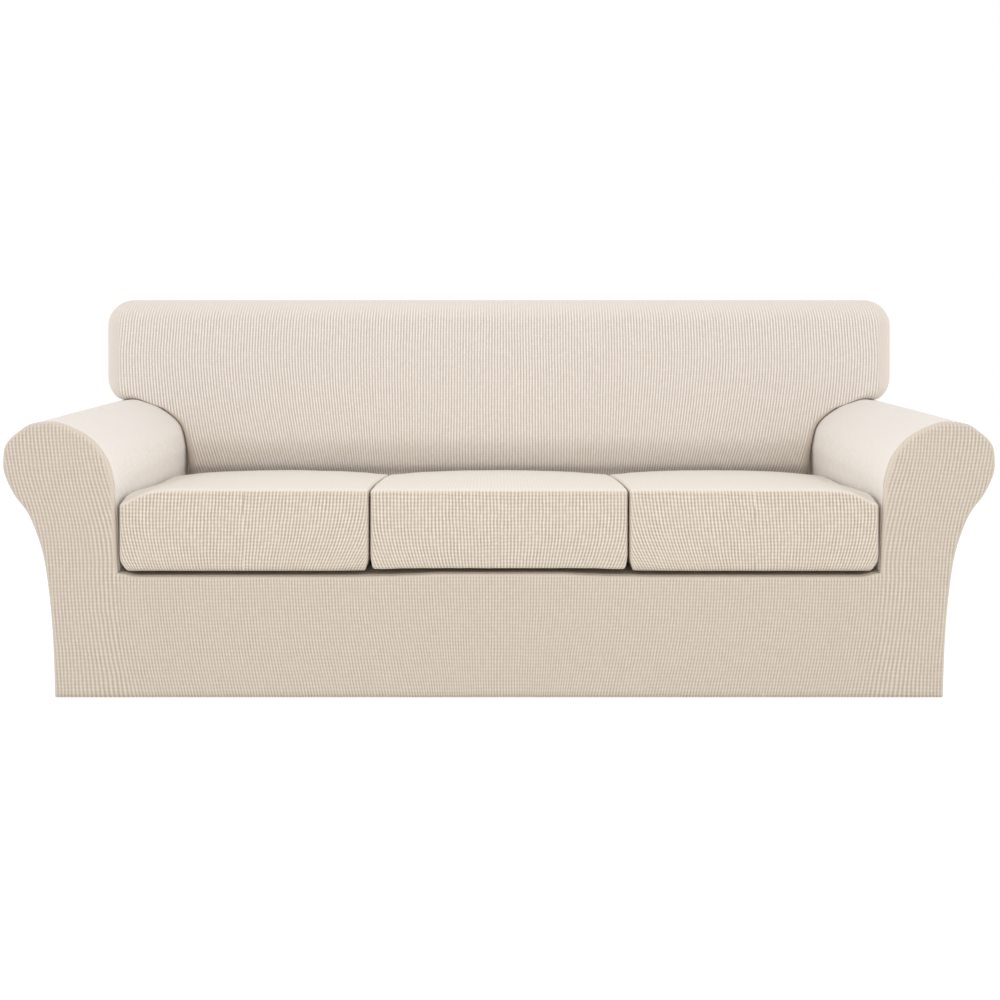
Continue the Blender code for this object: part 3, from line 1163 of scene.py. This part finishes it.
@dataclass
class Studio:
    """White studio: floor, lamps, white surroundings and the camera."""

    collection: bpy.types.Collection
    camera_place: Place = (0.0, -3.03, 0.872)
    lens: float = 42.0
    shift: Spot = (0.001, -0.197)
    surroundings: float = 1.0
    # Panels of light: name, place, tilt towards the sofa, power in watts, width, length
    panels: tuple[tuple[str, Place, float, float, float, float], ...] = (
        ("overhead_panel", (0.0, -0.8, 3.2), 0.0, 4.0, 4.0, 3.0),
        ("front_softbox", (0.0, -1.9, 1.5), math.radians(62.0), 9.0, 2.4, 0.6),
    )
    bank: float = 1.15  # strength of the bank of lights on each side
    bank_place: Spot = (2.5, 2.5)  # distance from the middle plane, height
    bank_turn: Spot = (math.radians(4.0), math.radians(69.0))
    bank_spread: float = math.radians(50.0)
    cool: Place = (0.92, 0.99, 1.12)
    floor_size: float = 12.0
    floor_glow: float = 0.8

    def build(self) -> None:
        """Set up the floor, the lights and the camera."""
        self.floor()
        self.light()
        self.camera()

    def floor(self) -> None:
        """Lay the white floor."""
        bpy.ops.mesh.primitive_plane_add(size=self.floor_size, location=(0, 0, 0))
        ground = bpy.context.active_object
        ground.name = "studio_floor"
        made = bpy.data.materials.new("matt_white_vinyl_floor")
        made.use_nodes = True
        made.node_tree.nodes.clear()
        # Matt white backdrop vinyl, lit enough to be pure white round the sofa's foot
        add = partial(add_node, made.node_tree)
        shader = add("BsdfPrincipled", {},
                     {"Base Color": linear("#898989"), "Roughness": 1.0,
                      "Specular IOR Level": 0.0, "Emission Color": linear("#FFFFFF"),
                      "Emission Strength": self.floor_glow})
        add("OutputMaterial", {}, {"Surface": shader})
        ground.data.materials.append(made)
        ground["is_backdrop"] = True

    def light(self) -> None:
        """Set the white surroundings, and hang the overhead panel, the softbox and the banks."""
        world = bpy.data.worlds.new("white_studio")
        bpy.context.scene.world = world
        world.use_nodes = True
        background = world.node_tree.nodes["Background"]
        background.inputs["Color"].default_value = linear("#FFFFFF")
        background.inputs["Strength"].default_value = self.surroundings
        for name, place, tilt, power, width, length in self.panels:
            self.lamp(name, "AREA", place, (tilt, 0.0, 0.0),
                      {"shape": "RECTANGLE", "size": width, "size_y": length, "energy": power})
        away, height = self.bank_place
        for side in Side:
            turn = (self.bank_turn[0], side.value * self.bank_turn[1], 0.0)
            self.lamp(f"side_bank_{side.name.lower()}", "SUN", (away * side.value, 0.0, height),
                      turn, {"energy": self.bank, "angle": self.bank_spread, "color": self.cool})

    def lamp(self, name: str, kind: str, place: Place, turn: Place,
             settings: dict[str, object]) -> None:
        """Hang a lamp.

        Args:
            name: Its name.
            kind: Type of the light.
            place: Where it hangs.
            turn: How it is turned from looking straight down.
            settings: The light's own settings, by name.
        """
        light = bpy.data.lights.new(name, kind)
        for key, value in settings.items():
            setattr(light, key, value)
        lamp = bpy.data.objects.new(name, light)
        lamp.location = place
        lamp.rotation_euler = turn
        self.collection.objects.link(lamp)

    def camera(self) -> None:
        """Place the camera where the photograph's one stood."""
        lens = bpy.data.cameras.new("studio_camera")
        lens.lens = self.lens
        lens.sensor_width = 36.0
        lens.shift_x, lens.shift_y = self.shift
        eye = bpy.data.objects.new("studio_camera", lens)
        eye.location = self.camera_place
        eye.rotation_euler = (math.radians(90.0), 0.0, 0.0)
        self.collection.objects.link(eye)
        bpy.context.scene.camera = eye


# How the stretch draws the wales: near, full, fade, far, start, end, shift
APRON_PULLS = (
    Pull(0.00, 0.20, 0.76, 0.96, 0.2735, -0.27, 0.074),
    Pull(0.80, 0.845, 2.0, 3.0, 0.29, 0.60, -0.045),
    Pull(0.95, 1.08, 2.0, 3.0, 0.27, 0.50, -0.010),
    Pull(0.80, 0.93, 2.0, 3.0, -0.05, 0.33, -0.020),
)
BACK_PULLS = (
    Pull(0.12, 0.66, 2.0, 3.0, 0.76, 0.18, 0.104),
    Pull(0.10, 0.55, 2.0, 3.0, 0.815, 0.89, -0.005),
)
# Creases of the skirt and the arm fronts: start, end, width, height
APRON_FOLDS = (
    Fold((-0.846, 0.262), (-0.838, 0.060), 0.007, -0.0022),
    Fold((0.846, 0.262), (0.838, 0.070), 0.007, -0.0022),
    Fold((-0.790, 0.240), (-0.720, 0.030), 0.022, -0.0020),
    Fold((0.780, 0.240), (0.725, 0.020), 0.024, -0.0018),
)
BACK_FOLDS = (
    Fold((-0.600, 0.450), (-0.560, 0.520), 0.010, -0.0016),
    Fold((0.610, 0.445), (0.575, 0.520), 0.011, -0.0015),
)


def main() -> None:
    """Build the cover, piece by piece, and the studio round it."""
    bpy.ops.object.select_all(action="DESELECT")
    collection = bpy.data.collections.new("sofa_slipcover")
    bpy.context.scene.collection.children.link(collection)
    shape = SofaShape()
    # Firm waffle of even beads, as flat light shows it on the upright cloth
    cover_cloth = StretchJacquard("stretch_jacquard_cover", wander=0.70, strength=0.62,
                                  speckle=0.14, patches=0.42, painted_tone_share=0.0).material()
    # Drawn tight over the back: the courses close up and fine upright ribs are left. Where it faces up or
    # half aside, as at the wing ends, the ribs are faded and its colour is mixed toward a plain painted
    # tone: painted light.
    back_cloth = StretchJacquard("stretch_jacquard_back", bead="#E8E2DA", pit="#AB9B8B",
                                 wander=0.35, strength=0.86, course_share=0.06, up_share=0.6,
                                 speckle=0.12, patches=0.22, least=0.05,
                                 painted_facing_tone="#C9BDB0", painted_tone_share=0.8).material()
    # Stretched over the rolls and seen aslant: the waffle is nearly lost. Where it faces up or half aside
    # it is faded further and its colour is mixed toward a darker painted tone: painted shade.
    arm_cloth = StretchJacquard("stretch_jacquard_arms", bead="#E3DCD4", pit="#C4BBB0",
                                wander=0.5, strength=0.60, course_share=0.10,
                                painted_facing_tone="#C6BEB5", painted_tone_share=0.4).material()
    # Filled out by the cushions: the waffle opens, with deeper pits and paler tops. Where it faces up, its
    # colour is mixed toward a paler painted tone: a painted highlight.
    cushion_cloth = StretchJacquard("stretch_jacquard_cushions", bead="#DFD5C6", pit="#9F8E7C",
                                    wander=0.85, strength=0.87, course_share=0.32,
                                    speckle=0.16, patches=0.38, side_share=0.35,
                                    painted_facing_tone="#E5E1DB", painted_tone_share=0.34).material()
    FrontApron(shape, collection, cover_cloth, pulls=APRON_PULLS, folds=APRON_FOLDS).build()
    InsideBack(shape, collection, back_cloth, pulls=BACK_PULLS, folds=BACK_FOLDS).build()
    OutsideBack(shape, collection, cover_cloth).build()
    SeatDeck(shape, collection, cover_cloth).build()
    for side in Side:
        ArmPanel(shape, collection, arm_cloth, side=side).build()
    CushionCover(shape, collection, cushion_cloth, lift=-0.002, fan=0.118, fan_power=3.4, seed=3.0).build()
    pitch = 0.566
    for side, seed in ((Side.RIGHT, 11.0), (Side.LEFT, 19.0)):
        CushionCover(shape, collection, cushion_cloth, f"cushion_cover_{side.name.lower()}",
                     middle=side.value * pitch, width=0.553, sagging=(side,),
                     foot_rows=LOW_FOOT, back_clearance=0.008, seed=seed).build()
    Studio(collection).build()
    bpy.context.scene.view_settings.view_transform = "Standard"
    boxes = {"cad": cad_box, "visual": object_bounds()}
    {key: [list(corner) for corner in value] for key, value in boxes.items()}


if __name__ == "__main__":
    main()
